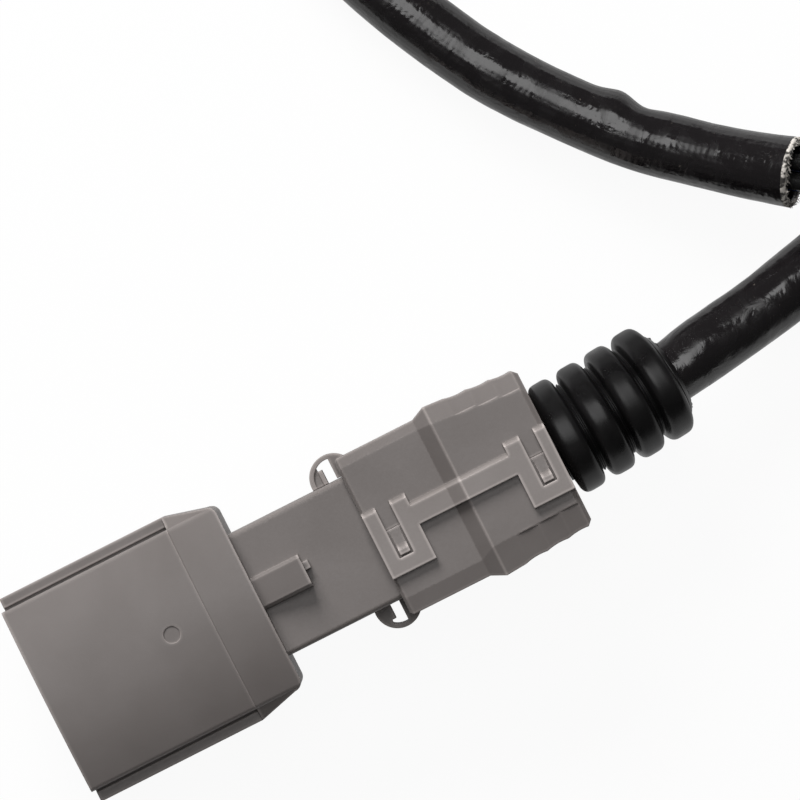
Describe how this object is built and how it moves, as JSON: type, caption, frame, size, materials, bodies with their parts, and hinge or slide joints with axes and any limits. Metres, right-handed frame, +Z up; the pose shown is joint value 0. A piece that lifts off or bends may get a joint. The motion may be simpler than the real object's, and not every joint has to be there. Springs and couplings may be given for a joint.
{
  "type": "oxygen sensor",
  "caption": "Threaded exhaust gas oxygen sensor with a sleeved wire lead, a ribbed rubber boot and a grey plastic connector.",
  "frame": {"origin": "on the floor under the middle of the sensor body, lead and connector apart", "axes": "+X along the sensor towards its tip, +Z up off the floor, +Y across, to the side where the lead's loop lies"},
  "size_m": [0.2219, 0.149, 0.022],
  "materials": {
    "shell_steel": "bright plated steel",
    "gasket_steel": "dull crushed ring",
    "tube_steel": "drawn stainless sheet",
    "casing_steel": "satin stainless sheet",
    "white_ceramic": "fired, unglazed",
    "talc": "pressed powder",
    "filter_white": "porous",
    "grommet_rubber": "satin",
    "grey_plastic": "warm grey, finely matt",
    "retainer_plastic": "light grey",
    "boot_rubber": "soft satin black",
    "sleeve_black": "lacquered woven glass fibre",
    "wire_black": "gloss",
    "wire_blue": "gloss",
    "wire_white": "gloss",
    "contact_metal": "nickel plated spring strip",
    "terminal_tin": "tin plated",
    "seal_rubber": "satin silicone"
  },
  "bodies": {
    "root": {"sensor_shell": "shell_steel", "gasket": "gasket_steel", "outer_protection_tube": "tube_steel", "inner_protection_tube": "tube_steel", "sensing_element": "white_ceramic", "heater_rod": "white_ceramic", "seat_ring": "tube_steel", "powder_packing": "talc", "insulator_sleeve": "white_ceramic", "rear_casing": "casing_steel", "vent_filter": "filter_white", "filter_cover": "casing_steel", "contact_separator": "white_ceramic", "grommet": "grommet_rubber", "connector_housing": "grey_plastic", "terminal_retainer": "retainer_plastic", "rear_cover_left": "grey_plastic", "rear_cover_right": "grey_plastic", "boot": "boot_rubber", "sleeve": "sleeve_black", "wire_black_1": "wire_black", "wire_black_2": "wire_black", "wire_blue": "wire_blue", "wire_white": "wire_white", "contact_1": "contact_metal", "male_terminal_1": "terminal_tin", "wire_seal_1": "seal_rubber", "contact_2": "contact_metal", "male_terminal_2": "terminal_tin", "wire_seal_2": "seal_rubber", "contact_3": "contact_metal", "male_terminal_3": "terminal_tin", "wire_seal_3": "seal_rubber", "contact_4": "contact_metal", "male_terminal_4": "terminal_tin", "wire_seal_4": "seal_rubber"}
  },
  "joints": []
}
